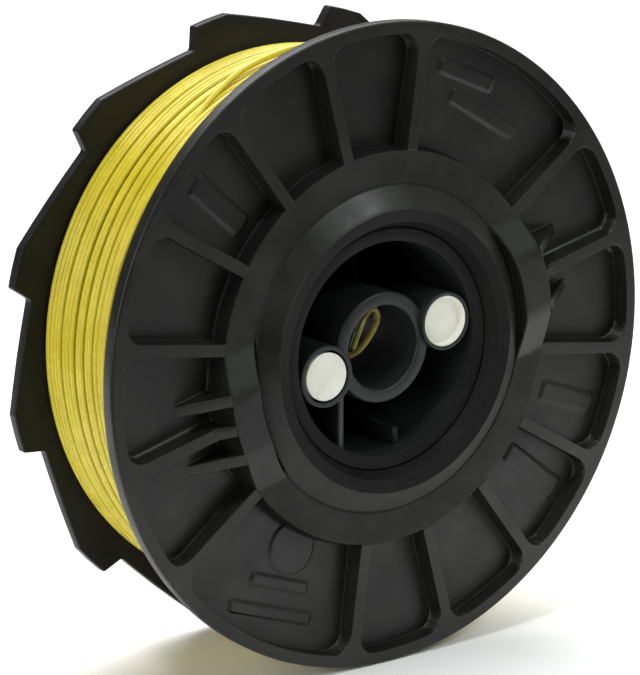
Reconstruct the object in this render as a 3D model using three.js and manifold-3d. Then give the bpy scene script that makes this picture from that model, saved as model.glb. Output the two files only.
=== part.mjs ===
// Tie-wire spool: a black moulded reel with a ribbed front flange, a hollow core
// drum, a toothed rear flange, two sensor discs and a winding of coated wire.
// Millimetres, +Z up. The spool's axis is Y and its front face looks along -Y.
// The origin is on the axis, half way between the front and rear contact faces.

import * as THREE from 'three';
import { mergeVertices } from 'three/addons/utils/BufferGeometryUtils.js';
import Module from 'manifold-3d';

const wasm = await Module();
wasm.setup();

// ---- Driving dimensions ------------------------------------------------------

const WIDTH = 32;                  // between the two contact faces
const GAP = 0.3;                   // clearance between touching pieces
const SEGMENTS = 72;               // facets of a large circle

const FLANGE_R = 46;               // front flange
const FRONT_Y = -WIDTH / 2;        // hub ring and cam lobes end here
const FACE_Y = FRONT_Y + 2;        // rim, ribs and collar band
const FLOOR_Y = FACE_Y + 2.7;      // bottom of the pockets
const PLATE_BACK_Y = FLOOR_Y + 1.3;
const RIM_EDGE = 2;                // width of the rim's cylindrical edge
const RIM_INNER_R = 44.2;

const SECTORS = 16;                // rib positions round the face
const RIB_ANGLE = 14.6;            // first rib, degrees from +X
const RIB_WIDTH = 1.8;
const MISSING_RIBS = [2, 10];      // two opposite pockets are twice as wide
const POCKET_FILLET = 2.8;

const COLLAR_R = 28.1;             // outer wall of the collar band
const CONE_R = 23.4;               // where the cone starts on the band
const RING_OUTER_R = 20.1;         // hub ring on top of the cone
const RING_INNER_R = 18.4;
const SPIGOT_R = 17.4;             // inside of the flange's spigot
const SPIGOT_END_Y = FACE_Y + 8;

const LOBE_FLAT = 10;              // half angle of a cam lobe's flat top
const LOBE_FOOT = 24.5;            // half angle of its foot
const FIN_OFFSET = 4.4;            // side fins, from the middle fin
const FIN_WIDTH = 1.6;
const FIN_TIP_R = 34.8;

const CORE_OUTER_R = 22.2;         // the wire is wound on this
const CORE_WALL_R = 20.4;
const HUB_OUTER_R = 17.1;
const HUB_INNER_R = 15.3;          // the open recess
const LEDGE_Y = FACE_Y + 0.2;
const WEB_Y = 8.6;                 // floor of the recess
const WEB_THICK = 1.6;
const BORE_R = 6;
const SLEEVE_R = 8;
const SLEEVE_Y = FACE_Y + 1.4;
const STUB_OUTER_R = 13.7;         // rear stub that carries the toothed flange
const STUB_INNER_R = 12;

const DISC_R = 3.45;
const DISC_THICK = 1.6;
const DISC_PITCH_R = 10.75;
const DISC_ANGLE = 13.5;
const BOSS_R = 4.4;
const BOSS_Y = FACE_Y + 0.5;

const TEETH = 12;
const TOOTH_TIP_R = 45.6;
const TOOTH_ROOT_R = 42.4;
const TOOTH_TIP = 107.8;           // angles of one tooth, degrees
const TOOTH_LAND = 7.2;
const TOOTH_DROP = 1.7;
const TOOTHED_FRONT_Y = 12.9;
const TOOTHED_BACK_Y = 14.6;
const HUB_RING_R = 19;             // raised rings and ribs on the rear face
const OUTER_RING_R = 38;
const RING_WIDTH = 1.6;
const REAR_RIB_WIDTH = 1.4;
const REAR_RIB_Y = 15.5;

const WIRE_R = 0.5;
const WINDING_R = 40.1;
const FINISH_HOLE_R = 42;          // the wire's outer end, in the rear flange
const FINISH_HOLE_ANGLE = 14;

// ---- Helpers -----------------------------------------------------------------

const rad = THREE.MathUtils.degToRad;

function polar(radius, degrees) {
  return new THREE.Vector2(radius * Math.cos(rad(degrees)), radius * Math.sin(rad(degrees)));
}

// Turns a closed three.js geometry into a solid with its faces pointing out.
function solid(geometry) {
  const shell = geometry.clone();
  for (const name of Object.keys(shell.attributes)) {
    if (name !== 'position') shell.deleteAttribute(name);
  }
  const merged = mergeVertices(shell, 1e-5);
  const points = merged.attributes.position;
  const faces = [];
  const index = merged.index.array;
  for (let i = 0; i < index.length; i += 3) {
    const [a, b, c] = [index[i], index[i + 1], index[i + 2]];
    if (a !== b && b !== c && c !== a) faces.push(a, b, c);
  }
  const corner = [new THREE.Vector3(), new THREE.Vector3(), new THREE.Vector3()];
  let volume = 0;
  for (let i = 0; i < faces.length; i += 3) {
    corner.forEach((v, k) => v.fromBufferAttribute(points, faces[i + k]));
    volume += corner[0].dot(corner[1].cross(corner[2]));
  }
  if (volume < 0) faces.reverse();
  return new wasm.Manifold(new wasm.Mesh({
    numProp: 3,
    vertProperties: new Float32Array(points.array),
    triVerts: new Uint32Array(faces),
  }));
}

function geometryOf(body) {
  const mesh = body.getMesh();
  const geometry = new THREE.BufferGeometry();
  geometry.setAttribute('position', new THREE.BufferAttribute(mesh.vertProperties, 3));
  geometry.setIndex(new THREE.BufferAttribute(mesh.triVerts, 1));
  geometry.computeVertexNormals();
  return geometry;
}

// A body of revolution about the spool's axis, from a closed list of [radius, y].
function turned(profile, segments = SEGMENTS) {
  const points = [...profile, profile[0]].map(([r, y]) => new THREE.Vector2(r, y));
  return solid(new THREE.LatheGeometry(points, segments));
}

function ring(inner, outer, y0, y1, segments = SEGMENTS) {
  return turned([[inner, y0], [outer, y0], [outer, y1], [inner, y1]], segments);
}

// A slab whose outline is drawn in X and Z, from y0 to y1.
function slab(shape, y0, y1, curveSegments = 6) {
  const geometry = new THREE.ExtrudeGeometry(shape, {
    depth: y1 - y0, bevelEnabled: false, curveSegments,
  });
  geometry.rotateX(Math.PI / 2);
  geometry.translate(0, y1, 0);
  return solid(geometry);
}

function outline(points) {
  return new THREE.Shape(points);
}

function rod(radius, y0, y1, x, z, segments = 40) {
  const geometry = new THREE.CylinderGeometry(radius, radius, y1 - y0, segments);
  geometry.translate(x, (y0 + y1) / 2, z);
  return solid(geometry);
}

function box(width, depth, height, centre, degrees = 0) {
  const geometry = new THREE.BoxGeometry(width, depth, height);
  geometry.translate(...centre);
  geometry.rotateY(-rad(degrees));
  return solid(geometry);
}

// A round wire along a smooth curve through the given points.
function wire(points, steps, sides = 4) {
  const path = new THREE.CatmullRomCurve3(points.map((p) => new THREE.Vector3(...p)));
  const section = new THREE.Shape();
  section.absarc(0, 0, WIRE_R, 0, 2 * Math.PI);
  return solid(new THREE.ExtrudeGeometry(section, {
    steps, curveSegments: sides, extrudePath: path, bevelEnabled: false,
  }));
}

function join(bodies) {
  return bodies.reduce((sum, body) => sum.add(body));
}

// ---- Front flange ------------------------------------------------------------

// The outline of the pocket between two ribs, given the ribs' angles. Its sides
// run parallel to the ribs and its outer corners are rounded.
function pocketOutline(first, last) {
  const half = RIB_WIDTH / 2;
  const innerTurn = THREE.MathUtils.radToDeg(Math.asin(half / COLLAR_R));
  const centreR = RIM_INNER_R - POCKET_FILLET;
  const centreTurn = THREE.MathUtils.radToDeg(Math.asin((half + POCKET_FILLET) / centreR));
  const shape = new THREE.Shape();
  const start = polar(COLLAR_R, first + innerTurn);
  shape.moveTo(start.x, start.y);
  const low = polar(centreR, first + centreTurn);
  shape.absarc(low.x, low.y, POCKET_FILLET, rad(first - 90), rad(first + centreTurn));
  shape.absarc(0, 0, RIM_INNER_R, rad(first + centreTurn), rad(last - centreTurn));
  const high = polar(centreR, last - centreTurn);
  shape.absarc(high.x, high.y, POCKET_FILLET, rad(last - centreTurn), rad(last + 90));
  shape.absarc(0, 0, COLLAR_R, rad(last - innerTurn), rad(first + innerTurn), true);
  return shape;
}

function pockets() {
  const step = 360 / SECTORS;
  const cuts = [];
  for (let k = 0; k < SECTORS; k += 1) {
    if (MISSING_RIBS.includes(k)) continue;
    const width = MISSING_RIBS.includes((k + 1) % SECTORS) ? 2 : 1;
    const first = RIB_ANGLE + k * step;
    cuts.push(slab(pocketOutline(first, first + width * step), FACE_Y - 1, FLOOR_Y));
  }
  return cuts;
}

// A cam lobe: a raised sector of the collar band with a flat top and ramped ends.
function lobe(degrees) {
  const sector = new THREE.Shape();
  sector.absarc(0, 0, COLLAR_R, rad(-LOBE_FOOT), rad(LOBE_FOOT));
  sector.absarc(0, 0, CONE_R, rad(LOBE_FOOT), rad(-LOBE_FOOT), true);
  const middleR = (COLLAR_R + CONE_R) / 2;
  const flat = middleR * Math.sin(rad(LOBE_FLAT));
  const foot = middleR * Math.sin(rad(LOBE_FOOT));
  const ramp = new THREE.ExtrudeGeometry(outline([
    new THREE.Vector2(-foot, FACE_Y), new THREE.Vector2(-flat, FRONT_Y),
    new THREE.Vector2(flat, FRONT_Y), new THREE.Vector2(foot, FACE_Y),
    new THREE.Vector2(foot, FACE_Y + 1), new THREE.Vector2(-foot, FACE_Y + 1),
  ]), { depth: FLANGE_R, bevelEnabled: false });
  ramp.rotateY(Math.PI / 2);
  return slab(sector, FRONT_Y - 1, FACE_Y + 1, 10).intersect(solid(ramp))
    .rotate([0, -degrees, 0]);
}

// Three parallel fins that brace a lobe against the flange.
function fins(degrees) {
  const profile = outline([
    new THREE.Vector2(COLLAR_R - 1, FRONT_Y + 0.2), new THREE.Vector2(COLLAR_R, FRONT_Y + 0.2),
    new THREE.Vector2(FIN_TIP_R, FLOOR_Y), new THREE.Vector2(FIN_TIP_R, FLOOR_Y + 0.5),
    new THREE.Vector2(COLLAR_R - 1, FLOOR_Y + 0.5),
  ]);
  return join([-FIN_OFFSET, 0, FIN_OFFSET].map((offset) => {
    const geometry = new THREE.ExtrudeGeometry(profile, { depth: FIN_WIDTH, bevelEnabled: false });
    geometry.translate(0, 0, offset - FIN_WIDTH / 2);
    return solid(geometry);
  })).rotate([0, -degrees, 0]);
}

function frontFlange() {
  const body = turned([
    [SPIGOT_R, FACE_Y + 0.2], [RING_INNER_R, FRONT_Y], [RING_OUTER_R, FRONT_Y],
    [CONE_R - 0.4, FACE_Y + 0.3], [CONE_R, FACE_Y], [FLANGE_R - 0.6, FACE_Y],
    [FLANGE_R, FACE_Y + 0.6], [FLANGE_R, FACE_Y + RIM_EDGE], [FLANGE_R - 2, PLATE_BACK_Y],
    [RING_OUTER_R, PLATE_BACK_Y], [RING_OUTER_R, SPIGOT_END_Y], [SPIGOT_R, SPIGOT_END_Y],
  ]);
  const carved = pockets().reduce((rest, cut) => rest.subtract(cut), body);
  return [RIB_ANGLE, RIB_ANGLE + 180].reduce(
    (sum, angle) => sum.add(lobe(angle)).add(fins(angle)), carved);
}

// ---- Core drum ---------------------------------------------------------------

const DISCS = [DISC_ANGLE, DISC_ANGLE + 180].map((angle) => polar(DISC_PITCH_R, angle));
const DISC_DEPTH = [1.3, 0.1];     // how far each disc sits below its boss

// Upright webs between the bosses and the wall of the recess. Each runs from z0 to z1
// and its front edge goes from y0 to y1.
const WEBS = [
  { x: -7, z0: -4, z1: -14, y0: -12.3, y1: -12.3 }, { x: 3.9, z0: -6.5, z1: -14.8, y0: 3, y1: 3 },
  { x: 3.9, z0: -12.6, z1: -14.8, y0: -10.6, y1: -11 }, { x: 7, z0: 4, z1: 14, y0: 3, y1: 3 },
  { x: -3.9, z0: 7, z1: 14.8, y0: 3, y1: 3 },
];
const WEB_WIDTH = 1.2;

function web({ x, z0, z1, y0, y1 }) {
  const back = WEB_Y + WEB_THICK;
  const geometry = new THREE.ExtrudeGeometry(outline([
    new THREE.Vector2(z0, y0), new THREE.Vector2(z1, y1),
    new THREE.Vector2(z1, back), new THREE.Vector2(z0, back),
  ]), { depth: WEB_WIDTH, bevelEnabled: false });
  geometry.rotateY(-Math.PI / 2);
  geometry.translate(x + WEB_WIDTH / 2, 0, 0);
  return solid(geometry);
}

// The wire's inner end comes through the drum walls at this place.
const START_ANGLE = 196;
const START_Y = -5.4;

function coreDrum() {
  const front = PLATE_BACK_Y + GAP;
  const back = TOOTHED_FRONT_Y - GAP;
  const webBack = WEB_Y + WEB_THICK;
  const walls = join([
    ring(CORE_WALL_R, CORE_OUTER_R, front, back),
    ring(HUB_INNER_R, HUB_OUTER_R, LEDGE_Y, webBack),
    ring(BORE_R - 1, CORE_OUTER_R - 0.5, WEB_Y, webBack),
    ring(STUB_INNER_R, STUB_OUTER_R, WEB_Y, TOOTHED_BACK_Y + 0.9, 56),
    ring(BORE_R - 1, SLEEVE_R, SLEEVE_Y, TOOTHED_BACK_Y, 48),
    ...DISCS.map((at) => rod(BOSS_R, BOSS_Y, webBack, at.x, at.y)),
    ...WEBS.map(web),
  ]);
  const seats = DISCS.map((at, k) => rod(
    DISC_R + GAP, BOSS_Y - 1, BOSS_Y + DISC_DEPTH[k] + DISC_THICK + GAP, at.x, at.y));
  const passage = new THREE.CylinderGeometry(1.1, 1.1, 20, 16);
  passage.rotateZ(Math.PI / 2);
  passage.translate(14, START_Y, 0);
  passage.rotateY(-rad(START_ANGLE));
  return [...seats, rod(BORE_R, FRONT_Y, WIDTH, 0, 0, 48), solid(passage)]
    .reduce((rest, cut) => rest.subtract(cut), walls);
}

// ---- Toothed rear flange -----------------------------------------------------

function toothedOutline() {
  const points = [];
  const pitch = 360 / TEETH;
  for (let k = 0; k < TEETH; k += 1) {
    const tip = TOOTH_TIP + k * pitch;
    points.push(polar(TOOTH_TIP_R - 0.3, tip - TOOTH_LAND - 1.2));
    points.push(polar(TOOTH_TIP_R, tip - TOOTH_LAND));
    points.push(polar(TOOTH_TIP_R, tip - TOOTH_LAND / 2));
    points.push(polar(TOOTH_TIP_R, tip));
    points.push(polar(TOOTH_ROOT_R, tip + TOOTH_DROP));
  }
  return outline(points);
}

function rearToothedFlange() {
  const hubBack = WIDTH / 2;
  const bore = STUB_OUTER_R + GAP;
  const parts = [
    slab(toothedOutline(), TOOTHED_FRONT_Y, TOOTHED_BACK_Y),
    ring(bore - 1, HUB_RING_R, TOOTHED_FRONT_Y, hubBack, 64),
    ring(OUTER_RING_R, OUTER_RING_R + RING_WIDTH, TOOTHED_FRONT_Y, REAR_RIB_Y),
  ];
  const length = OUTER_RING_R - HUB_RING_R + 1;
  for (let k = 0; k < TEETH; k += 1) {
    parts.push(box(length, REAR_RIB_Y - TOOTHED_FRONT_Y, REAR_RIB_WIDTH,
      [HUB_RING_R + length / 2 - 0.5, (REAR_RIB_Y + TOOTHED_FRONT_Y) / 2, 0],
      TOOTH_TIP + k * 360 / TEETH));
  }
  const wireHole = polar(FINISH_HOLE_R, FINISH_HOLE_ANGLE);
  return join(parts).subtract(rod(bore, TOOTHED_FRONT_Y - 1, WIDTH, 0, 0, 56))
    .subtract(rod(WIRE_R + GAP, TOOTHED_FRONT_Y - 1, WIDTH, wireHole.x, wireHole.y, 16));
}

// ---- Wire --------------------------------------------------------------------

function winding() {
  const front = PLATE_BACK_Y + GAP;
  const back = TOOTHED_FRONT_Y - GAP;
  return turned([
    [CORE_OUTER_R + GAP, front], [WINDING_R - 0.8, front], [WINDING_R, front + 0.8],
    [WINDING_R, back - 0.8], [WINDING_R - 0.8, back], [CORE_OUTER_R + GAP, back],
  ]);
}

// The inner end: in through the drum walls, then a small hook inside the bore.
function startEnd() {
  const inward = (r) => [r * Math.cos(rad(START_ANGLE)), START_Y, r * Math.sin(rad(START_ANGLE))];
  return wire([
    inward(CORE_OUTER_R - 0.2), inward(17), inward(11), inward(6.2),
    [-4.5, -6.2, -1.9], [-2.9, -8.1, -1.7], [-1.4, -9, -0.7], [0.6, -9.2, 1.6], [1.5, -9.2, 3.5],
    [0.8, -9.3, 4.9], [-0.8, -9.8, 4.6], [-2.3, -10.5, 3.2], [-3.4, -10.9, 1.8], [-4, -10.9, 0.4],
  ], 44);
}

// The outer end: lies on top of the winding, crosses it towards the rear flange,
// leaves it in a straight line and hooks through a hole in that flange.
function finishEnd() {
  const restR = WINDING_R + GAP + WIRE_R;
  const start = { angle: 112, y: 0.5 };
  const leave = { angle: 31, y: 8.5 };
  const points = [];
  for (let angle = start.angle; angle > leave.angle; angle -= 6) {
    const at = polar(restR, angle);
    const y = THREE.MathUtils.mapLinear(angle, start.angle, leave.angle, start.y, leave.y);
    points.push([at.x, y, at.y]);
  }
  const hole = polar(FINISH_HOLE_R, FINISH_HOLE_ANGLE);
  const before = polar(FINISH_HOLE_R - 0.5, FINISH_HOLE_ANGLE + 5);
  points.push([before.x, 10, before.y]);
  points.push([hole.x, 11.9, hole.y], [hole.x, 13.4, hole.y], [hole.x, 15.2, hole.y]);
  return wire(points, 44);
}

// ---- Assembly ----------------------------------------------------------------

const PLASTIC = { color: 0x1c1c1b, roughness: 0.42, metalness: 0 };
const WHITE = { color: 0xdedccd, roughness: 0.35, metalness: 0 };
const COATING = { color: 0xd6c63c, roughness: 0.3, metalness: 0 };

const spool = new THREE.Group();

function addPiece(name, body, finish) {
  const mesh = new THREE.Mesh(geometryOf(body), new THREE.MeshStandardMaterial(finish));
  mesh.name = name;
  spool.add(mesh);
}

addPiece('front_flange', frontFlange(), PLASTIC);
addPiece('core_drum', coreDrum(), PLASTIC);
addPiece('rear_toothed_flange', rearToothedFlange(), PLASTIC);
DISCS.forEach((at, k) => {
  const front = BOSS_Y + DISC_DEPTH[k];
  const side = ['right', 'left'][k];
  addPiece(`sensor_disc_${side}`, rod(DISC_R, front, front + DISC_THICK, at.x, at.y), WHITE);
});
addPiece('wire_winding', winding(), COATING);
addPiece('wire_start_end', startEnd(), COATING);
addPiece('wire_finish_end', finishEnd(), COATING);

export default spool;
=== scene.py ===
import math

import bpy
import numpy as np
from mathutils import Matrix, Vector


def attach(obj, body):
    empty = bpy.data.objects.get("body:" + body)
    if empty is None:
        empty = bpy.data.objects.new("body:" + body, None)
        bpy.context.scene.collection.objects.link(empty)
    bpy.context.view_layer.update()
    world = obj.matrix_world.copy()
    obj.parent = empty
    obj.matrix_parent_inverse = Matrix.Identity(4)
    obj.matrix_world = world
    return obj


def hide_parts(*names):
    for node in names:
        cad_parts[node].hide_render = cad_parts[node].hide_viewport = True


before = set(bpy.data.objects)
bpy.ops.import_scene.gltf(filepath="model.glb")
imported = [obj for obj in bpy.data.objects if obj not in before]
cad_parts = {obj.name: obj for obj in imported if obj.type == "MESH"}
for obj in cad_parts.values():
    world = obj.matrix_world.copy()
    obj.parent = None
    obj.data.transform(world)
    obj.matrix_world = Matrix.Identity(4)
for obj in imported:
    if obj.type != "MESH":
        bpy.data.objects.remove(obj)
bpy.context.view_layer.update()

# A reel of coated tie wire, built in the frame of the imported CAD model: the spool's axis
# is Y, its ribbed front face looks along -Y, and +Z is up.

MM = 0.001

# ---- Dimensions, in millimetres, in the CAD frame -------------------------------

FACE_Y = -14.0                # rim, ribs and collar band; heights are measured from it
POCKET_DEPTH = 2.7
PLATE_BACK = -4.0             # height of the flange's back
FLANGE_R = 46.0
RIM_INNER_R = 44.19
COLLAR_R = 28.07
RING_DISH = 0.35              # the hub ring's face sinks this much towards the bore
COLLAR_DISH = 0.4             # the collar band sinks this much towards the cone
LOBE_INNER_R = 23.45
CONE_FOOT_R = 23.2            # the cone rises from here to the hub ring
RING_OUTER_R = 20.13          # the hub ring, the highest face of the front
RING_INNER_R = 18.37
RING_H = 2.0
SPIGOT_R = 17.4               # the spigot reaches back from the hub ring into the drum
SPIGOT_OUTER_R = 20.1
SPIGOT_BACK = -8.0

RIBS = 16                     # rib positions round the face
SECTOR = 360 / RIBS
RIB_ANGLE = 14.63             # the first rib, in degrees from +X
RIB_HALF = 0.85
MISSING_RIBS = (2, 10)        # two opposite pockets are twice as wide
LOBE_RIBS = (0, 8)            # a cam lobe and its fins stand at each of these
LOBE_FLAT = 4.5               # half length of a lobe's flat top
LOBE_FOOT = 10.6              # half length at its foot
FIN_OFFSET = 4.4              # side fins, from the middle fin
FIN_OFFSETS = (-FIN_OFFSET, 0.0, FIN_OFFSET)
FIN_HALF = 0.8
FIN_TIP_R = 34.7
FIN_RISE = 1.9                # a fin's height over the rim plane where it meets the collar
POCKET_CORNER = 2.8           # rounding between the ribs and the rim

CORE_FRONT, CORE_BACK = -9.7, 12.6
CORE_R = 22.2
CORE_WALL_R = 20.4
HUB_OUTER_R = 17.36
HUB_INNER_R = 15.25
WEB_Y, WEB_BACK_Y = 8.6, 10.2
SLEEVE_R = 7.97
BORE_R = 6.0
SLEEVE_Y = -12.6
STUB_OUTER_R, STUB_INNER_R = 13.7, 12.0
STUB_BACK_Y = 15.5
BOSS_R = 4.4
BOSS_Y = -13.5
DISC_R = 3.42
DISC_THICKNESS = 1.6
DISC_PITCH_R = 10.75
DISC_ANGLE = 13.4

TEETH = 12
TOOTH_SECTOR = 360 / TEETH
TIP_ANGLE = 107.83            # the first tooth's tip, in degrees from +X
TIP_R = 45.58
ROOT_R = 42.46
ROOT_LEAD = 1.72              # degrees from the tip before to the root
CREST_LEAD = 7.17             # degrees from the start of the crest to the tip
CREST_MIDDLE = 3.6
PLATE_FRONT_Y, PLATE_REAR_Y = 12.9, 14.6
REAR_HUB_R = 19.0
REAR_BORE_R = 14.0
REAR_FACE_Y = 16.0
REAR_RIB_Y = 15.5
OUTER_RING_R, OUTER_RING_W = 38.0, 1.6

WIRE_R = 0.5
WINDING_R = 40.07
TURN_R = 0.55                 # an outer turn is drawn a little thicker than the wire
TURN_PITCH = 0.93
GROUP_GAP = 0.52
GROUPS = (4, 3, 2, 2, 3, 2, 4)   # outer turns that lie close together, from the rear
START_ANGLE, START_Y = 196, -5.4
FINISH_HOLE_R, FINISH_HOLE_ANGLE = 42.0, 14

rng = np.random.default_rng(20)


# ---- Mesh helpers ---------------------------------------------------------------

def new_object(name, points, faces):
    """A smooth-shaded mesh object. points are millimetres in the row frame."""
    mesh = bpy.data.meshes.new(name)
    mesh.from_pydata((np.asarray(points) * MM).tolist(), [], faces)
    mesh.validate()
    mesh.polygons.foreach_set("use_smooth", np.ones(len(mesh.polygons), bool))
    mesh.update()
    obj = bpy.data.objects.new(name, mesh)
    bpy.context.scene.collection.objects.link(obj)
    return obj


def enclosed(points, faces):
    """Six times the volume inside the faces: positive when they face outwards."""
    fans = np.array([(f[0], f[i], f[i + 1]) for f in faces for i in range(1, len(f) - 1)])
    a, b, c = (points[fans[:, i]] for i in range(3))
    return float((a * np.cross(b, c)).sum())


class Shell:
    """Closed bodies gathered into one mesh, each turned to face outwards."""

    def __init__(self):
        self.points = []
        self.faces = []
        self.count = 0

    def add(self, points, faces):
        points = np.asarray(points, float).reshape(-1, 3)
        if enclosed(points, faces) < 0:
            faces = [f[::-1] for f in faces]
        self.faces += [tuple(int(i) + self.count for i in f) for f in faces]
        self.points.append(points)
        self.count += len(points)

    def grid(self, rows, wrap_rows=True):
        """rows x columns x 3 points; the columns always wrap round."""
        rows = np.asarray(rows, float)
        n, m = rows.shape[:2]
        index = np.arange(n * m).reshape(n, m)
        down = np.roll(index, -1, 0) if wrap_rows else index[1:]
        here = index if wrap_rows else index[:-1]
        quads = np.stack([here, np.roll(here, -1, 1), np.roll(down, -1, 1), down], -1)
        faces = [tuple(q) for q in quads.reshape(-1, 4).tolist()]
        if not wrap_rows:
            faces.append(tuple(index[0][::-1].tolist()))
            faces.append(tuple(index[-1].tolist()))
        self.add(rows, faces)

    def build(self, name):
        return new_object(name, np.concatenate(self.points), self.faces)


def fillet(points, radius, steps=5):
    """Rounds the corners of a closed (a, b) outline. radius is one number or one per corner."""
    points = [np.array(p, float) for p in points]
    radii = radius if hasattr(radius, "__len__") else [radius] * len(points)
    out = []
    for i, p in enumerate(points):
        before, after = points[i - 1] - p, points[(i + 1) % len(points)] - p
        la, lb = np.linalg.norm(before), np.linalg.norm(after)
        if radii[i] <= 0:
            out.append(p)
            continue
        before, after = before / la, after / lb
        angle = math.acos(np.clip(before @ after, -1, 1))
        if angle > math.radians(176):
            out.append(p)
            continue
        cut = min(radii[i] / math.tan(angle / 2), 0.46 * la, 0.46 * lb)
        r = cut * math.tan(angle / 2)
        middle = before + after
        centre = p + middle / np.linalg.norm(middle) * (r / math.sin(angle / 2))
        start, end = p + before * cut - centre, p + after * cut - centre
        turn = math.atan2(start[0] * end[1] - start[1] * end[0], start @ end)
        for t in np.linspace(0, turn, steps + 1):
            c, s = math.cos(t), math.sin(t)
            turned_x = c * start[0] - s * start[1]
            turned_y = s * start[0] + c * start[1]
            out.append(centre + np.array([turned_x, turned_y]))
    return np.array(out)


def revolve(outline, columns, at):
    """Rows of points: an (r, y) outline turned about an axis along Y through (x, z) = at."""
    angle = np.linspace(0, 2 * math.pi, columns, endpoint=False)
    rows = np.zeros((len(outline), columns, 3))
    rows[..., 0] = at[0] + outline[:, :1] * np.cos(angle)
    rows[..., 1] = outline[:, 1:]
    rows[..., 2] = at[1] + outline[:, :1] * np.sin(angle)
    return rows


def turned(shell, profile, radius=0.3, columns=192, at=(0.0, 0.0), steps=4):
    """A closed (r, y) outline, rounded and turned."""
    shell.grid(revolve(fillet(profile, radius, steps), columns, at))


def turned_disc(shell, profile, radius=0.3, columns=96, at=(0.0, 0.0), steps=4):
    """As turned, for an open outline that starts and ends near the axis and is capped there."""
    outline = fillet(profile, [0] + [radius] * (len(profile) - 2) + [0], steps)
    shell.grid(revolve(outline, columns, at), wrap_rows=False)


def bar(shell, section, length, radius, place, steps=3, end=0.25):
    """A rounded section in (a, b) extruded along c with softened ends. place maps (a, b, c)."""
    outline = fillet(section, radius, steps)
    middle = outline.mean(0)
    rows = []
    for c, shrink in ((0, end), (end * 0.3, end * 0.3), (end, 0),
                      (length - end, 0), (length - end * 0.3, end * 0.3), (length, end)):
        away = outline - middle
        reach = np.linalg.norm(away, axis=1, keepdims=True)
        ring = middle + away * (1 - shrink / reach)
        rows.append([place(a, b, c) for a, b in ring])
    shell.grid(rows, wrap_rows=False)


def tube(shell, path, radius, sides=10):
    """A round wire along a list of points, with rounded ends."""
    path = np.asarray(path, float)
    tangent = np.gradient(path, axis=0)
    tangent /= np.linalg.norm(tangent, axis=1, keepdims=True)
    side = np.cross(tangent[0], [0.0, 1.0, 0.0])
    if np.linalg.norm(side) < 0.1:
        side = np.cross(tangent[0], [1.0, 0.0, 0.0])
    side /= np.linalg.norm(side)
    angle = np.linspace(0, 2 * math.pi, sides, endpoint=False)
    rows = []

    def ring(centre, t, s, r):
        up = np.cross(t, s)
        rows.append(centre + r * (np.outer(np.cos(angle), s) + np.outer(np.sin(angle), up)))

    for i, (centre, t) in enumerate(zip(path, tangent)):
        side = side - t * (side @ t)
        side /= np.linalg.norm(side)
        if i == 0:
            for back in (1.0, 0.8, 0.4):
                ring(centre - t * radius * back, t, side, radius * math.sqrt(1 - back ** 2) + 0.02)
        ring(centre, t, side, radius)
        if i == len(path) - 1:
            for on in (0.4, 0.8, 1.0):
                ring(centre + t * radius * on, t, side, radius * math.sqrt(1 - on ** 2) + 0.02)
    shell.grid(rows, wrap_rows=False)


def polar(radius, degrees):
    """The point at a radius and at an angle from +X."""
    a = math.radians(degrees)
    return radius * math.cos(a), radius * math.sin(a)


def spline(points, per_span=8):
    """A Catmull-Rom curve through the points."""
    p = np.asarray(points, float)
    p = np.vstack([2 * p[0] - p[1], p, 2 * p[-1] - p[-2]])
    out = []
    for i in range(1, len(p) - 2):
        for t in np.linspace(0, 1, per_span, endpoint=False):
            a, b, c, d = p[i - 1], p[i], p[i + 1], p[i + 2]
            out.append(0.5 * (2 * b + (c - a) * t + (2 * a - 5 * b + 4 * c - d) * t ** 2
                              + (3 * b - a - 3 * c + d) * t ** 3))
    out.append(p[-2])
    return np.array(out)


def smooth_max(a, b, k):
    """The larger of a and b, rounded where they are within k of each other."""
    h = np.clip(0.5 + 0.5 * (a - b) / k, 0, 1)
    return b + (a - b) * h + k * h * (1 - h)


def smooth_step(x, a, b):
    """Rises from 0 at a to 1 at b, level at both ends."""
    t = np.clip((x - a) / (b - a), 0, 1)
    return t * t * (3 - 2 * t)


def wall_drop(s, depth, top=0.05, run=0.05, foot=0.2):
    """How far the surface has dropped at a distance s past the top edge of a moulded wall."""
    depth = np.broadcast_to(depth, s.shape)
    top = np.minimum(top, depth * 0.45)
    foot = np.minimum(foot, depth * 0.45)
    into = np.clip(s + top, 0, top)
    run = np.broadcast_to(run, s.shape)
    drop = top - np.sqrt(np.maximum(top ** 2 - into ** 2, 0))
    wall = np.clip(s / run, 0, 1) * (depth - top - foot)
    out = np.clip(run + foot - s, 0, foot)
    tail = np.sqrt(np.maximum(foot ** 2 - out ** 2, 0))
    return np.where(s <= 0, drop, top + wall + np.where(s > run, tail, 0))


# ---- Front flange ---------------------------------------------------------------

WALL_LINES = (-0.13, -0.08, -0.04, -0.01, 0.0, 0.05, 0.06, 0.09, 0.14, 0.2, 0.27, 0.36)
CORNER_LINES = tuple(RIB_HALF + s for s in np.arange(0.44, 2.4, 0.12))


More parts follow.
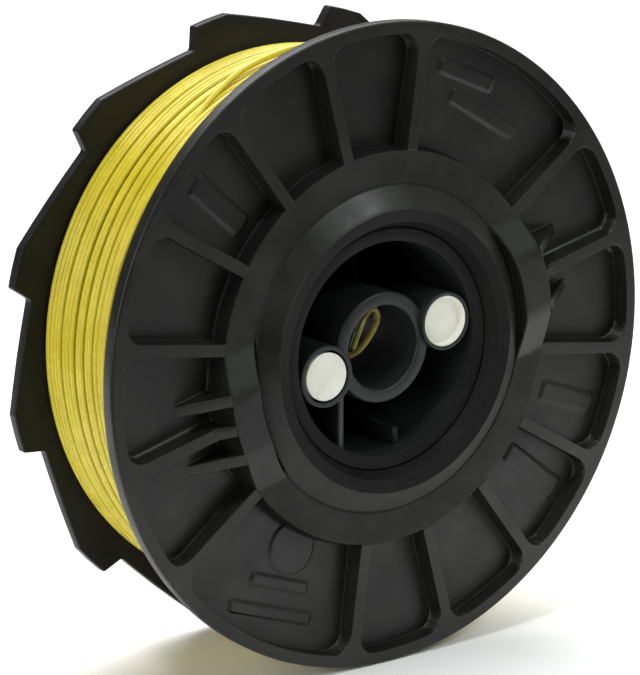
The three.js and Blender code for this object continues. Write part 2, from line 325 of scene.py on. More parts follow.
def column_angles(r):
    """The angles of the mesh columns at radius r, in degrees: parallel to the ribs beside
    them, evenly spread between."""
    r = float(np.clip(r, COLLAR_R, RIM_INNER_R + 0.4))
    plain = sorted({RIB_HALF + s for s in WALL_LINES} | {0.0, 0.35} | set(CORNER_LINES))
    lobed = sorted(set(plain) | {FIN_OFFSET - FIN_HALF - s for s in WALL_LINES} | {4.1, 4.4, 4.7}
                   | {FIN_OFFSET + FIN_HALF + s for s in WALL_LINES})
    sets = [lobed if k in LOBE_RIBS else plain for k in range(RIBS)]
    angles = []
    for k in range(RIBS):
        rib = RIB_ANGLE + k * SECTOR
        lines = [-d for d in sets[k][:0:-1]] + list(sets[k])
        angles += [rib + math.degrees(math.asin(d / r)) for d in lines]
        last = rib + math.degrees(math.asin(sets[k][-1] / r))
        following = rib + SECTOR - math.degrees(math.asin(sets[(k + 1) % RIBS][-1] / r))
        beside_lobe = k in LOBE_RIBS or (k + 1) % RIBS in LOBE_RIBS
        count = 20 if beside_lobe else 26
        angles += list(np.linspace(last, following, count + 2)[1:-1])
    return np.array(angles)


def rib_axes(x, z, k):
    """Distances from the spool's axis along rib k and across it."""
    a = math.radians(RIB_ANGLE + k * SECTOR)
    return x * math.cos(a) + z * math.sin(a), -x * math.sin(a) + z * math.cos(a)


def rib_distance(x, z, ribs=range(RIBS)):
    """Distance to the nearest rib's centre plane."""
    nearest = np.full(x.shape, 99.0)
    for k in ribs:
        if k not in MISSING_RIBS:
            along, across = rib_axes(x, z, k)
            nearest = np.where(along > 0, np.minimum(nearest, np.abs(across)), nearest)
    return nearest


def pad_height(x, z, centre_r, degrees, half_w, half_h, tilt, rise, round_r):
    """A plain raised pad on a pocket floor."""
    a = math.radians(degrees)
    t = math.radians(degrees - 90 + tilt)
    px, pz = x - centre_r * math.cos(a), z - centre_r * math.sin(a)
    u, v = px * math.cos(t) + pz * math.sin(t), -px * math.sin(t) + pz * math.cos(t)
    qx, qz = np.abs(u) - half_w + round_r, np.abs(v) - half_h + round_r
    outside = np.hypot(np.maximum(qx, 0), np.maximum(qz, 0)) + np.minimum(np.maximum(qx, qz), 0)
    return rise * (1 - smooth_step(outside - round_r, -0.1, 0.2))


# centre radius, angle, half length, half width, turn from the tangent, rise, corner radius
PADS = (
    (30.8, 241.1, 3.7, 3.7, 0, 0.28, 3.6), (36.0, 241.6, 5.0, 0.8, 9, 0.28, 0.5),
    (40.2, 242.1, 7.2, 0.8, 9, 0.28, 0.5), (35.4, 139.1, 5.2, 1.5, 90, 0.25, 0.5),
    (36.7, 321.1, 5.6, 1.5, 90, 0.25, 0.5), (37.3, 339.9, 4.9, 1.4, 90, 0.25, 0.5),
    (36.2, 59.5, 6.5, 1.0, 0, 0.25, 0.5), (40.0, 67.5, 5.0, 1.0, 0, 0.25, 0.5),
)


def lobe_height(x, z):
    """Height of the cam lobes over the rim plane: a flat top between two ramps."""
    top = np.zeros_like(x)
    for k in LOBE_RIBS:
        along, across = rib_axes(x, z, k)
        ramp = RING_H * (LOBE_FOOT - np.abs(across)) / (LOBE_FOOT - LOBE_FLAT)
        ramp = -smooth_max(-ramp, np.full_like(ramp, -RING_H), 0.35)
        ramp = smooth_max(ramp, np.zeros_like(ramp), 0.35)
        top = np.where(along > 0, np.maximum(top, ramp), top)
    return top


def collar_height(r, lobe_top):
    """The cone, the dished collar band and the lobes that stand on it."""
    cone = RING_H * (CONE_FOOT_R - r) / (CONE_FOOT_R - RING_OUTER_R)
    dish = -COLLAR_DISH * np.clip((COLLAR_R - r) / (COLLAR_R - CONE_FOOT_R), 0, 1)
    band = smooth_max(dish, np.minimum(cone, RING_H), 0.25)
    lobe = lobe_top - wall_drop(LOBE_INNER_R - r, lobe_top + COLLAR_DISH, 0.25, 0.1, 0.02)
    collar = np.maximum(band, np.where(r > LOBE_INNER_R - 0.4, lobe, -1))
    groove = np.exp(-((r - LOBE_INNER_R + 0.22) / 0.15) ** 2)
    return collar - np.where(r < LOBE_INNER_R, 0.6 * lobe_top * groove, 0)


def with_fins(pocket, x, z, depth):
    """Adds the three fins outside each lobe, which slope down to the pocket floor."""
    fall = FIN_RISE + POCKET_DEPTH + 0.2
    for k in LOBE_RIBS:
        along, across = rib_axes(x, z, k)
        slope = FIN_RISE - (along - COLLAR_R + 0.3) / (FIN_TIP_R - COLLAR_R) * fall
        height = np.maximum(slope + depth, 0)
        for offset in FIN_OFFSETS:
            s = np.abs(across - offset) - FIN_HALF
            fin = slope - wall_drop(s, height, 0.15, 0.08, 0.22)
            fin = np.where((along > 0) & (height > 0.02), fin, -depth)
            pocket = smooth_max(pocket, fin, 0.06)
    return pocket


def pocket_inside(x, z, r):
    """Distance into a pocket from its nearest rib or the rim, round in the corners."""
    a = rib_distance(x, z) - RIB_HALF
    b = RIM_INNER_R - r
    reach = np.hypot(np.maximum(POCKET_CORNER - a, 0), np.maximum(POCKET_CORNER - b, 0))
    in_corner = (a < POCKET_CORNER) & (b < POCKET_CORNER)
    return np.where(in_corner, POCKET_CORNER - reach, np.minimum(a, b))


def face_height(x, z):
    """Height of the front face over the rim plane, from the hub ring outwards."""
    r = np.hypot(x, z)
    lobe_top = lobe_height(x, z)
    collar = collar_height(r, lobe_top)
    inside = pocket_inside(x, z, r)
    depth = POCKET_DEPTH - 0.1 + 0.5 * np.clip((RIM_INNER_R - r) / (RIM_INNER_R - COLLAR_R), 0, 1)
    foot = np.where(rib_distance(x, z, LOBE_RIBS) < 3, 0.8, 0.12)
    ribs = -wall_drop(inside, depth, foot=foot)
    run = 0.3 + 0.35 * lobe_top
    wall = lobe_top - wall_drop(r - COLLAR_R, depth + lobe_top, 0.12, run, 0.03)
    pocket = with_fins(smooth_max(ribs, wall, 0.06), x, z, depth)
    for pad in PADS:
        pocket += np.where(inside > 0.8, pad_height(x, z, *pad), 0)
    inner = np.where(r > COLLAR_R - 0.3, np.minimum(collar, wall), collar)
    return np.minimum(np.where(r <= COLLAR_R, inner, pocket), RING_H)


def mesh_radii():
    """Radii of the mesh rows of the face, close together at the edges of its walls."""
    cone_foot = [23.0, 23.1, 23.2, 23.25, 23.3, 23.35, 23.4, 23.45, 23.5, 23.56, 23.62, 23.7]
    collar_wall = [27.77, 27.86, 27.93, 28.0, 28.04, 28.07, 28.14, 28.22, 28.3, 28.38, 28.46,
                   28.55, 28.64, 28.74, 28.85, 28.96, 29.08, 29.2, 29.32, 29.44, 29.56]
    rim_wall = [43.55, 43.7, 43.8, 43.9, 43.97, 44.03, 44.09, 44.13, 44.14, 44.19, 44.2, 44.23,
                44.27, 44.32]
    return np.concatenate([
        np.linspace(RING_OUTER_R + 0.15, 22.9, 10), cone_foot,
        np.linspace(23.9, 27.6, 14), collar_wall,
        np.linspace(29.8, 41.3, 48), np.linspace(41.5, 43.46, 23), rim_wall, [44.6, 45.3],
    ])


def front_flange():
    profile = [(r, None) for r in mesh_radii()]   # None: the height is worked out
    edge = fillet([(45.3, 0), (FLANGE_R, 0), (FLANGE_R, -2.0), (44.0, PLATE_BACK),
                   (SPIGOT_OUTER_R, PLATE_BACK), (SPIGOT_OUTER_R, SPIGOT_BACK),
                   (SPIGOT_R, SPIGOT_BACK), (SPIGOT_R, -0.2), (RING_INNER_R, RING_H - RING_DISH),
                   (RING_OUTER_R + 0.05, RING_H)],
                  [0, 0.45, 0.45, 0.6, 0.5, 0.3, 0.3, 0.2, 0.22, 0.22], 5)
    profile += [tuple(p) for p in edge[1:]]
    rows = []
    for r, h in profile:
        a = np.radians(column_angles(r))
        x, z = r * np.cos(a), r * np.sin(a)
        height = face_height(x, z) if h is None else np.full_like(x, h)
        rows.append(np.stack([x, FACE_Y - height, z], -1))
    shell = Shell()
    shell.grid(np.array(rows))
    return shell.build("flange_front_moulding")


# ---- Core drum ------------------------------------------------------------------

DISC_PLACES = (polar(DISC_PITCH_R, DISC_ANGLE), polar(DISC_PITCH_R, DISC_ANGLE + 180))
DISC_DEPTHS = (1.3, 0.1)
# x, first z, last z, then the y of the front edge at each of them
WEBS = (
    (-7.0, -4.0, -14.0, -12.3, -12.3), (3.9, -6.5, -14.8, 3.0, 3.0),
    (3.9, -12.6, -14.8, -10.6, -11.0), (7.0, 4.0, 14.0, 3.0, 3.0),
    (-3.9, 7.0, 14.8, 3.0, 3.0),
)
WEB_THICKNESS = 1.2
WEB_LEAN = 0.22               # slant of a web's edges, for each millimetre of its thickness


def core_drum():
    shell = Shell()
    turned(shell, [(CORE_WALL_R, CORE_FRONT), (CORE_R, CORE_FRONT), (CORE_R, CORE_BACK),
                   (CORE_WALL_R, CORE_BACK)], 0.25)
    turned(shell, [(HUB_INNER_R, FACE_Y + 0.5), (HUB_OUTER_R, FACE_Y + 0.2),
                   (HUB_OUTER_R, WEB_BACK_Y - 0.2), (HUB_INNER_R, WEB_BACK_Y - 0.2)], 0.3)
    turned(shell, [(SLEEVE_R - 0.5, WEB_Y), (CORE_R - 0.4, WEB_Y), (CORE_R - 0.4, WEB_BACK_Y),
                   (SLEEVE_R - 0.5, WEB_BACK_Y)], 0.15)
    turned(shell, [(STUB_INNER_R, WEB_Y + 0.4), (STUB_OUTER_R, WEB_Y + 0.4),
                   (STUB_OUTER_R, STUB_BACK_Y), (STUB_INNER_R, STUB_BACK_Y)], 0.3, 144)
    turned(shell, [(BORE_R, SLEEVE_Y), (SLEEVE_R, SLEEVE_Y), (SLEEVE_R, PLATE_REAR_Y),
                   (BORE_R, PLATE_REAR_Y)], 0.4, 144)
    for at, depth, boss_r in zip(DISC_PLACES, DISC_DEPTHS, (BOSS_R - 0.2, BOSS_R)):
        seat_y = BOSS_Y + depth + 1.95
        seat_r = DISC_R + 0.33
        turned_disc(shell, [(0.02, seat_y), (seat_r, seat_y), (seat_r, BOSS_Y), (boss_r, BOSS_Y),
                            (boss_r + 0.05, WEB_BACK_Y - 0.1), (0.02, WEB_BACK_Y - 0.1)],
                    0.18, 96, at)
    for x, z0, z1, y0, y1 in WEBS:
        back = WEB_BACK_Y - 0.3
        side = [(z0, y0), (z0, back), (z1, back), (z1, y1)]
        bar(shell, side[::-1] if z1 > z0 else side, WEB_THICKNESS, 0.2,
            lambda a, b, c, x=x: (x - WEB_THICKNESS / 2 + c, b + WEB_LEAN * c, a))
    return shell.build("core_drum_moulding")


# ---- Rear toothed flange --------------------------------------------------------

def toothed_outline():
    """Outline points of the toothed rim, with softened corners. Each tooth's back is slightly
    bulged."""
    corners, radii = [], []
    for k in range(TEETH):
        tip = TIP_ANGLE + TOOTH_SECTOR * k
        root = tip - TOOTH_SECTOR + ROOT_LEAD
        corners.append(polar(ROOT_R, root))
        radii.append(0.5)
        foot, crest = np.array(polar(ROOT_R, root)), np.array(polar(TIP_R, tip - CREST_LEAD))
        for share, bulge in ((0.25, 0.12), (0.5, 0.17), (0.75, 0.12)):
            on = foot + (crest - foot) * share
            corners.append(tuple(on * (1 + bulge / np.linalg.norm(on))))
            radii.append(0)
        corners.append(polar(TIP_R, tip - CREST_LEAD))
        radii.append(0.7)
        corners.append(polar(TIP_R, tip - CREST_MIDDLE))
        radii.append(0)
        corners.append(polar(TIP_R, tip))
        radii.append(0.4)
    outline = fillet(corners, radii, 4)
    dense = []
    for i, p in enumerate(outline):
        q = outline[(i + 1) % len(outline)]
        steps = max(1, int(np.linalg.norm(q - p) / 1.2))
        dense += [p + (q - p) * t for t in np.linspace(0, 1, steps, endpoint=False)]
    return np.array(dense)


def rear_flange():
    shell = Shell()
    outline = toothed_outline()
    ahead, behind = np.roll(outline, -1, 0), np.roll(outline, 1, 0)
    tangent = (ahead - behind) / np.linalg.norm(ahead - behind, axis=1, keepdims=True)
    normal = np.stack([tangent[:, 1], -tangent[:, 0]], -1)
    angle = np.arctan2(outline[:, 1], outline[:, 0])
    inner = REAR_BORE_R * np.stack([np.cos(angle), np.sin(angle)], -1)
    bevel = 0.25

    def row(loop, y):
        return np.stack([loop[:, 0], np.full(len(loop), y), loop[:, 1]], -1)

    def inset(distance):
        return outline - normal * distance

    shares = (0.36, 0.46, 0.6, 0.75, 0.88, 0.955)
    rows = [row(inner, PLATE_FRONT_Y)]
    rows += [row(outline * share, PLATE_FRONT_Y) for share in shares]
    arc = [(1 - math.cos(t), 1 - math.sin(t)) for t in np.linspace(math.pi / 2, 0, 5)]
    rows += [row(inset(bevel * u), PLATE_FRONT_Y + bevel * v) for u, v in arc]
    rows += [row(inset(bevel * u), PLATE_REAR_Y - bevel * v) for u, v in arc[::-1]]
    rows += [row(outline * share, PLATE_REAR_Y) for share in shares[::-1]]
    rows.append(row(inner, PLATE_REAR_Y))
    shell.grid(np.array(rows)[::-1])
    turned(shell, [(REAR_BORE_R, PLATE_FRONT_Y + 0.1), (REAR_HUB_R, PLATE_FRONT_Y + 0.1),
                   (REAR_HUB_R, REAR_FACE_Y), (REAR_BORE_R, REAR_FACE_Y)], 0.4, 144)
    ring_outer_r = OUTER_RING_R + OUTER_RING_W
    turned(shell, [(OUTER_RING_R, PLATE_FRONT_Y + 0.2), (ring_outer_r, PLATE_FRONT_Y + 0.2),
                   (ring_outer_r, REAR_RIB_Y), (OUTER_RING_R, REAR_RIB_Y)], 0.3)
    for k in range(TEETH):
        a = math.radians(TIP_ANGLE + TOOTH_SECTOR * k)
        ca, sa = math.cos(a), math.sin(a)
        low, high = PLATE_FRONT_Y + 0.3, REAR_RIB_Y
        bar(shell, [(-0.7, low), (0.7, low), (0.62, high), (-0.62, high)],
            OUTER_RING_R - REAR_HUB_R + 0.8, 0.25,
            lambda u, v, c, ca=ca, sa=sa: ((REAR_HUB_R - 0.4 + c) * ca - u * sa, v,
                                           (REAR_HUB_R - 0.4 + c) * sa + u * ca))
    return shell.build("flange_rear_moulding")


# ---- Discs and wire -------------------------------------------------------------

def sensor_disc(name, at, depth):
    """A button; one that sits deep in its boss has a thin rim up to the boss's top."""
    shell = Shell()
    front, back = BOSS_Y + depth, BOSS_Y + depth + DISC_THICKNESS
    if depth < 0.5:
        outline = [(0.02, front), (DISC_R, front), (DISC_R, back), (0.02, back)]
    else:
        outline = [(0.02, front), (DISC_R - 0.08, front), (DISC_R + 0.02, BOSS_Y + 0.2),
                   (DISC_R + 0.26, BOSS_Y + 0.2), (DISC_R + 0.26, back), (0.02, back)]
    turned_disc(shell, outline, 0.12, 96, at)
    return shell.build(name)


def wound(radius, rest_y, per_turn, wobble, lift, inset):
    """Points of one wound layer. rest_y is where each turn lies across the drum; the wire steps
    over to the next on the +X side and wanders a little, as real winding does."""
    turns = len(rest_y)
    share = np.linspace(0, turns, turns * per_turn + 1)
    angle = 2 * math.pi * share
    following = np.clip(np.floor(share + 0.5).astype(int), 1, turns - 1)
    step = smooth_step(share - following, -0.24, 0.2)
    y = rest_y[following - 1] * (1 - step) + rest_y[following] * step
    wander = np.zeros_like(share)
    bump = np.zeros_like(share)
    for order in (0.37, 0.83, 1.31, 2.17, 3.61):
        wander += rng.normal() * np.sin(order * angle + rng.uniform(0, 6.28)) / (1 + order)
        bump += rng.normal() * np.sin(order * 1.13 * angle + rng.uniform(0, 6.28)) / (1 + order)
    y = np.clip(y + wobble * wander, CORE_FRONT + inset, CORE_BACK - inset)
    r = radius + np.minimum(lift * bump, 0.0)
    return np.stack([r * np.cos(angle), y, r * np.sin(angle)], -1)


def wire_winding():
    """Two outer layers of turns over a solid ring, which stands for the turns below them."""
    shell = Shell()
    turned(shell, [(CORE_R + 0.3, CORE_FRONT), (WINDING_R - 1.8, CORE_FRONT),
                   (WINDING_R - 1.8, CORE_BACK), (CORE_R + 0.3, CORE_BACK)], 0.4)
    rest_y = []
    y = CORE_BACK - 0.56
    for group in GROUPS:
        rest_y += [y - TURN_PITCH * k for k in range(group)]
        y -= TURN_PITCH * group + GROUP_GAP
    under = np.linspace(CORE_BACK - 0.9, CORE_FRONT + 0.9, 22)
    tube(shell, wound(WINDING_R - 1.5, under, 120, 0.05, 0.03, 0.48), 0.475, 8)
    tube(shell, wound(WINDING_R - 0.56, np.array(rest_y), 180, 0.06, 0.06, 0.56), TURN_R, 14)
    return shell.build("wire_winding_strands")


def wire_start_end():
    """In through the drum's walls, then a loose hook inside the bore."""
    shell = Shell()
    a = math.radians(START_ANGLE)
    route = [(r * math.cos(a), START_Y, r * math.sin(a)) for r in (22.0, 17.0, 11.0, 6.2)]
    route += [(-4.5, -6.2, -1.9), (-2.9, -8.1, -1.7), (-1.4, -9.0, -0.7), (0.6, -9.2, 1.6),
              (1.5, -9.2, 3.5), (0.8, -9.3, 4.9), (-0.8, -9.8, 4.6), (-2.3, -10.5, 3.2),
              (-3.4, -10.9, 1.8), (-4.0, -10.9, 0.4)]
    tube(shell, spline(route, 8), 0.45, 14)
    return shell.build("wire_start_hook")


def wire_finish_end():
    """Over the winding towards the rear flange, then through a hole in it."""
    shell = Shell()
    rest_r = WINDING_R + 0.03 + 0.3 + WIRE_R
    route = []
    for angle in np.arange(130, 31, -5.0):
        x, z = polar(np.interp(angle, (110, 130), (rest_r, WINDING_R - 0.9)), angle)
        route.append((x, np.interp(angle, (31, 130), (8.5, 0.4)), z))
    hx, hz = polar(FINISH_HOLE_R, FINISH_HOLE_ANGLE)
    bx, bz = polar(FINISH_HOLE_R - 0.5, FINISH_HOLE_ANGLE + 5)
    route += [(bx, 10, bz), (hx, 11.9, hz), (hx, 13.4, hz), (hx, 14.9, hz)]
    tube(shell, spline(route, 8), 0.48, 12)
    return shell.build("wire_finish_lead")


# ---- Materials ------------------------------------------------------------------

class Nodes:
    """Small helper that adds and links shader nodes."""

    def __init__(self, name):
        self.material = bpy.data.materials.new(name)
        self.material.use_nodes = True
        self.tree = self.material.node_tree
        self.shader = self.tree.nodes["Principled BSDF"]
        self.coords = self.add("ShaderNodeTexCoord").outputs["Object"]

    def add(self, kind, **inputs):
        node = self.tree.nodes.new(kind)
        for key, value in inputs.items():
            self.set(node, key, value)
        return node

    def set(self, node, key, value):
        socket = node.inputs[key.replace("_", " ")] if isinstance(key, str) else node.inputs[key]
        if isinstance(value, bpy.types.NodeSocket):
            self.tree.links.new(value, socket)
        else:
            socket.default_value = value

    def noise(self, scale, detail=4.0, rough=0.55, vector=None):
        node = self.add("ShaderNodeTexNoise", Scale=scale, Detail=detail, Roughness=rough)
        self.set(node, "Vector", vector or self.coords)
        return node.outputs["Fac"]

    def spread(self, value, low, high, to_low, to_high):
        node = self.add("ShaderNodeMapRange")
        for key, v in zip(("Value", "From Min", "From Max", "To Min", "To Max"),
                          (value, low, high, to_low, to_high)):
            self.set(node, key, v)
        return node.outputs["Result"]

    def mix(self, factor, a, b, blend="MIX"):
        node = self.add("ShaderNodeMix")
        node.data_type = "RGBA"
        node.blend_type = blend
        for index, v in ((0, factor), (6, a), (7, b)):
            self.set(node, index, v)
        return node.outputs[2]

    def math(self, operation, a, b):
        node = self.add("ShaderNodeMath")
        node.operation = operation
        self.set(node, 0, a)
        self.set(node, 1, b)
        return node.outputs[0]

    def bump(self, height, distance, strength=1.0, normal=None):
        node = self.add("ShaderNodeBump", Strength=strength, Distance=distance, Height=height)
        if normal is not None:
            self.set(node, "Normal", normal)
        return node.outputs["Normal"]

    def axis_distance(self):
        """Distance from the spool's axis."""
        flat = self.add("ShaderNodeVectorMath")
        flat.operation = "MULTIPLY"
        self.set(flat, 0, self.coords)
        self.set(flat, 1, (1, 0, 1))
        length = self.add("ShaderNodeVectorMath")
        length.operation = "LENGTH"
        self.set(length, 0, flat.outputs["Vector"])
        return length.outputs["Value"]

    def finish(self, colour, roughness, normal):
        self.set(self.shader, "Base Color", colour)
        self.set(self.shader, "Roughness", roughness)
        self.set(self.shader, "Normal", normal)
        return self.material


def linear(r, g, b):
    """An sRGB colour of 0 to 255 as the linear colour that shaders take."""
    return tuple((c / 255 / 12.92) if c <= 10 else ((c / 255 + 0.055) / 1.055) ** 2.4
                 for c in (r, g, b)) + (1.0,)


def black_plastic(name, dark, light, rough, gloss=0.5):
    """Moulded plastic with a faint flow pattern, specks and a slightly uneven surface."""
    n = Nodes(name)
    flow = n.spread(n.noise(75, 6, 0.65), 0.35, 0.68, 0, 1)
    speck = n.spread(n.noise(900, 3, 0.6), 0.55, 0.75, 0, 1)
    colour = n.mix(flow, linear(*dark), linear(*light))
    colour = n.mix(n.math("MULTIPLY", speck, 0.25), colour, linear(46, 45, 43))
    roughness = n.spread(n.noise(130, 5, 0.6), 0.3, 0.7, rough - 0.09, rough + 0.1)
    fine = n.bump(n.noise(2600, 2, 0.5), 0.00002, 0.5)
    waves = n.bump(n.noise(170, 4, 0.6), 0.00012, 0.5, fine)
    normal = n.bump(n.noise(55, 2, 0.5), 0.0003, 0.35, waves)
    n.shader.inputs["Specular IOR Level"].default_value = gloss
    return n.finish(colour, roughness, normal)


def white_disc(name):
    n = Nodes(name)
    colour = n.mix(n.spread(n.noise(300, 4, 0.6), 0.35, 0.7, 0, 1), linear(247, 246, 234),
                   linear(233, 231, 217))
    roughness = n.spread(n.noise(500, 4, 0.6), 0.3, 0.7, 0.32, 0.46)
    normal = n.bump(n.noise(1400, 3, 0.5), 0.00002, 0.5)
    return n.finish(colour, roughness, normal)


def wire_coat(name, dark, light, groove_shade=False):
    """Coated wire; the last argument adds painted shade to what lies below the outermost turns,
    darker the deeper it lies.
    """
    n = Nodes(name)
    tone = n.spread(n.noise(220, 4, 0.6), 0.35, 0.7, 0, 1)
    colour = n.mix(tone, linear(*dark), linear(*light))
    if groove_shade:
        # Painted shade: towards the drum the coat darkens to a deep olive, in the gaps between
        # turns and on the turns below them.
        depth = n.spread(n.axis_distance(), (WINDING_R - 0.95) * MM, (WINDING_R - 0.2) * MM, 1, 0)
        colour = n.mix(depth, colour, linear(96, 80, 8))
    roughness = n.spread(n.noise(700, 4, 0.6), 0.3, 0.7, 0.22, 0.33)
    normal = n.bump(n.noise(1100, 3, 0.5), 0.00003, 0.25)
    return n.finish(colour, roughness, normal)


# ---- Assembly -------------------------------------------------------------------

BLACK_FRONT = black_plastic("black_moulded_front", (9, 10, 8), (32, 32, 27), 0.40, 0.43)
# Painted light: a lighter, less glossy copy of the front plastic, so the collar band looks evenly
# lit all round.
BLACK_COLLAR_PAINTED_LIGHT = black_plastic("black_moulded_collar_painted_light", (29, 29, 27), (49, 48, 44), 0.55, 0.18)
# Painted shade: a darker, less glossy copy of the black plastic, laid where faces lie in shade:
# the hub ring's face, the hub tube's face and the foot of the collar wall.
BLACK_PAINTED_SHADE = black_plastic("black_moulded_painted_shade", (20, 20, 20), (28, 28, 27), 0.5, 0.12)
# Painted light: the core's black is lighter than the front's, so the deep, shaded bore reads less
# black than its shade would make it.
BLACK_CORE_PAINTED_LIGHT = black_plastic("black_moulded_core_painted_light", (31, 32, 33), (41, 42, 43), 0.42, 0.4)
BLACK_REAR = black_plastic("black_moulded_rear", (15, 14, 18), (22, 21, 25), 0.45, 0.3)
WHITE = white_disc("disc_off_white")
# The winding's coat carries painted shade below its outermost turns.
COAT = wire_coat("wire_yellow_coat", (202, 185, 36), (217, 200, 60), True)
# Painted shade: a darker copy of the yellow coat, for the hook that lies in the bore's shadow.
COAT_PAINTED_SHADE = wire_coat("wire_coat_painted_shade", (112, 100, 32), (150, 138, 58))


def place(obj, node, slot, material):
    """Gives a piece its material and its body, and hides the CAD part it stands for. slot is not
    used.
    """
    obj.data.materials.append(material)
    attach(obj, "root")
    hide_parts(node)


def repaint(name, material, inner_r, outer_r, first_y, last_y=FACE_Y + 1.3):
    """Gives another material to the faces of a moulding between two radii and two depths."""
    moulding = bpy.data.objects[name]
    if material.name not in moulding.data.materials:
        moulding.data.materials.append(material)
    index = moulding.data.materials.find(material.name)
    for face in moulding.data.polygons:
        x, y, z = face.center / MM
        if inner_r < math.hypot(x, z) < outer_r and first_y < y < last_y:
            face.material_index = index


place(front_flange(), "front_flange", "plastic_front", BLACK_FRONT)
# Painted light on the collar band.
repaint("flange_front_moulding", BLACK_COLLAR_PAINTED_LIGHT, CONE_FOOT_R, COLLAR_R, FACE_Y - 0.12)
# Painted shade on the hub ring's face.
repaint("flange_front_moulding", BLACK_PAINTED_SHADE, SPIGOT_R, RING_OUTER_R, FACE_Y - RING_H - 1)
# Painted shade on the foot of the collar wall and the strip of pocket floor beside it.
repaint("flange_front_moulding", BLACK_PAINTED_SHADE, COLLAR_R - 0.05, COLLAR_R + 0.55,
        FACE_Y + 0.2, FACE_Y + 3.5)
# The core drum carries the lighter black: painted light in the bore.
place(core_drum(), "core_drum", "plastic_core", BLACK_CORE_PAINTED_LIGHT)
# Painted shade on the face of the hub tube.
repaint("core_drum_moulding", BLACK_PAINTED_SHADE, HUB_INNER_R - 0.1, HUB_OUTER_R + 0.1, FACE_Y - 1)
place(rear_flange(), "rear_toothed_flange", "plastic_rear", BLACK_REAR)
place(sensor_disc("disc_right", DISC_PLACES[0], DISC_DEPTHS[0]),
      "sensor_disc_right", "disc_white", WHITE)
place(sensor_disc("disc_left", DISC_PLACES[1], DISC_DEPTHS[1]),
      "sensor_disc_left", "disc_white", WHITE)
place(wire_winding(), "wire_winding", "wire_coating", COAT)
# The hook gets the darker coat: painted shade.
place(wire_start_end(), "wire_start_end", "wire_coating", COAT_PAINTED_SHADE)
place(wire_finish_end(), "wire_finish_end", "wire_coating", COAT)


# ---- Camera, lights and floor ---------------------------------------------------

def point_at(obj, target):
    obj.rotation_euler = (Vector(target) - obj.location).to_track_quat("-Z", "Y").to_euler()


# Set so that the outlines of the model fall on those of the photograph.
AZIMUTH, ELEVATION = math.radians(-36.257), math.radians(13.622)
DISTANCE = 444.1 * MM
TARGET = Vector((-1.043 * MM, 1.0 * MM, -1.048 * MM))
camera_data = bpy.data.cameras.new("camera")
camera_data.lens = 174.3
camera_data.sensor_width = 36
camera_data.sensor_fit = "HORIZONTAL"
camera_data.clip_start = 0.01
camera = bpy.data.objects.new("camera", camera_data)
camera.location = TARGET + DISTANCE * Vector((
    math.sin(AZIMUTH) * math.cos(ELEVATION), -math.cos(AZIMUTH) * math.cos(ELEVATION),
    math.sin(ELEVATION)))
point_at(camera, TARGET)
bpy.context.scene.collection.objects.link(camera)
bpy.context.scene.camera = camera


def softbox(name, location, size, power, target=(0, 0, 0), colour=(1, 1, 1)):
    data = bpy.data.lights.new(name, "AREA")
    data.shape = "RECTANGLE"
    data.size, data.size_y = size
    data.energy = power
    data.color = colour
    lamp = bpy.data.objects.new(name, data)
    lamp.location = location
    point_at(lamp, target)
    bpy.context.scene.collection.objects.link(lamp)


softbox("key", (0.28, -0.63, 0.65), (0.2, 0.2), 1.9, colour=(0.9, 1.0, 0.96))
softbox("window", (0.41, -0.78, 0.34), (0.2, 0.28), 0.4, colour=(0.8, 1.0, 0.9))
softbox("top", (0.25, 0.4, 0.97), (1.2, 1.0), 19.0)
softbox("upper_left", (-0.37, -0.25, 0.89), (0.12, 0.12), 2.3)
softbox("left", (-0.87, -0.22, 0.3), (0.8, 0.6), 4.0)
softbox("right", (0.9, 0.13, -0.02), (0.3, 0.2), 0.8)


ROOM_LOW, ROOM_SPAN = 0.07, 0.32
BRIGHT_SIDE = (0.8, -0.1, 0.3)


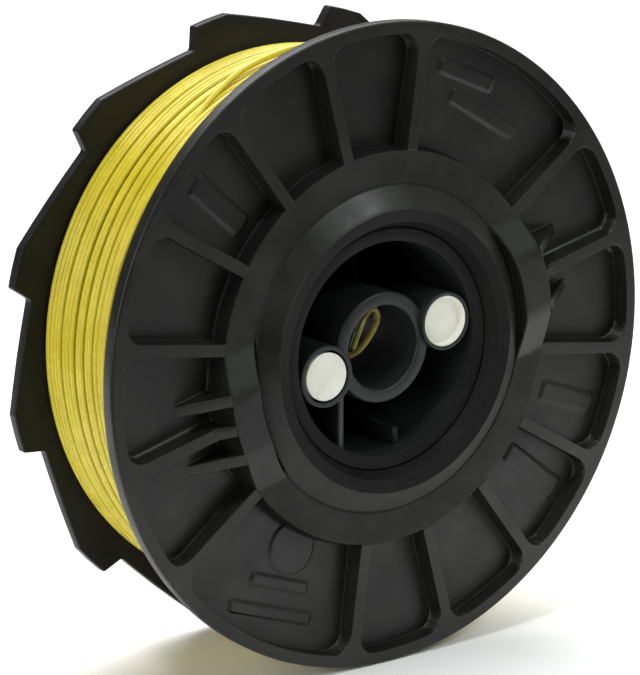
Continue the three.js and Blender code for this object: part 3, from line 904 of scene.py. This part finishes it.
def studio_world():
    """A pale room: white wherever the camera looks. As a source of light it is dim, and
    brightest on the right."""
    world = bpy.data.worlds.new("studio")
    world.use_nodes = True
    tree = world.node_tree
    background = tree.nodes["Background"]

    def add(kind, operation=None, values=()):
        node = tree.nodes.new(kind)
        if operation:
            node.operation = operation
        for i, v in enumerate(values):
            if isinstance(v, bpy.types.NodeSocket):
                tree.links.new(v, node.inputs[i])
            elif v is not None:
                node.inputs[i].default_value = v
        return node

    direction = add("ShaderNodeTexCoord").outputs["Generated"]
    toward = add("ShaderNodeVectorMath", "DOT_PRODUCT", (direction, BRIGHT_SIDE))
    half = add("ShaderNodeMath", "MULTIPLY_ADD", (toward.outputs["Value"], 0.5, 0.5)).outputs[0]
    square = add("ShaderNodeMath", "POWER", (half, 2.0)).outputs[0]
    room = add("ShaderNodeMath", "MULTIPLY_ADD", (square, ROOM_SPAN, ROOM_LOW)).outputs[0]
    seen = add("ShaderNodeLightPath").outputs["Is Camera Ray"]
    strength = add("ShaderNodeMath", "MAXIMUM", (room, seen)).outputs[0]
    background.inputs["Color"].default_value = (1, 1, 1, 1)
    tree.links.new(strength, background.inputs["Strength"])
    bpy.context.scene.world = world


studio_world()
bpy.context.scene.view_settings.view_transform = "Standard"

FLOOR_CENTRE = (150.0, 290.0)
FLOOR_R = 440.0


def floor():
    """A round pale sheet under the spool."""
    shell = Shell()
    columns = 96
    angle = np.linspace(0, 2 * math.pi, columns, endpoint=False)
    outline = ((20, 0), (150, 0), (300, 0), (FLOOR_R - 1, 0), (FLOOR_R, 0.6), (FLOOR_R - 1, 1.2),
               (20, 1.2))
    rows = []
    for radius, drop in outline:
        rows.append(np.stack([FLOOR_CENTRE[0] + radius * np.cos(angle),
                              FLOOR_CENTRE[1] + radius * np.sin(angle),
                              np.full(columns, -FLANGE_R - 0.05 - drop)], -1))
    shell.grid(rows, wrap_rows=False)
    obj = shell.build("studio_floor")
    n = Nodes("studio_floor_pale")
    colour = n.mix(n.noise(30, 3, 0.5), linear(246, 246, 245), linear(250, 250, 249))
    obj.data.materials.append(n.finish(colour, n.spread(n.noise(90, 3, 0.5), 0.3, 0.7, 0.6, 0.7),
                                       n.bump(n.noise(900, 2, 0.5), 0.00002, 0.3)))


floor()
